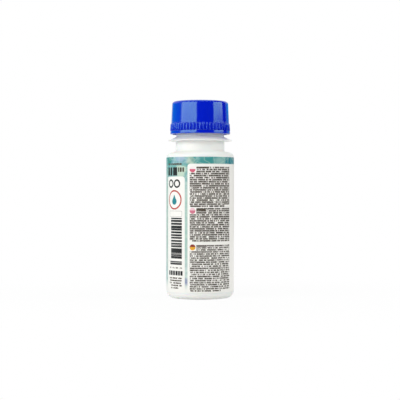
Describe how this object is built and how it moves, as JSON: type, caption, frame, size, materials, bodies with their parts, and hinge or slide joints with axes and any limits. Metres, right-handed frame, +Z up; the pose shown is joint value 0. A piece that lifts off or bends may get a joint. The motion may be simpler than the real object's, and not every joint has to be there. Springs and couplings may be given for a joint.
{
  "type": "screw-cap solution bottle",
  "caption": "Small opaque cylindrical bottle with a wrap label, a thin neck support ring and a ribbed screw cap with a tamper-evident band.",
  "frame": {"origin": "centre of the standing face, where the bottle's axis meets the surface it stands on", "axes": "+Z up along the bottle's axis, -Y towards the printed panels, +X to the right of them"},
  "size_m": [0.035, 0.035, 0.1011],
  "materials": {
    "white_bottle": "satin blow-moulded polyethylene",
    "clear_solution": "clear liquid",
    "label_film": "printed film with a thin gloss varnish",
    "blue_closure": "glossy injection-moulded polypropylene",
    "liner_foam": "closed-cell foam disc"
  },
  "bodies": {
    "bottle": {"bottle": "white_bottle", "solution": "clear_solution", "label": "label_film"},
    "liner": {"cap_liner": "liner_foam"},
    "cap": {"cap": "blue_closure"},
    "band": {"tamper_band": "blue_closure"}
  },
  "joints": [
    {"name": "cap_lift", "type": "slide", "parent": "bottle", "child": "liner", "axis": [0, 0, 1], "range_m": [0, 0.0318]},
    {"name": "cap_turn", "type": "hinge", "parent": "liner", "child": "cap", "pos_m": [0, 0, 0.0998], "axis": [0, 0, 1], "range_deg": [0, 3600]},
    {"name": "band_drop", "type": "slide", "parent": "bottle", "child": "band", "axis": [0, 0, 1], "range_m": [-0.0022, 0]}
  ],
  "couplings": [
    {"joint": "cap_lift", "follows": "cap_turn", "m_per_rad": 0.00050611}
  ]
}
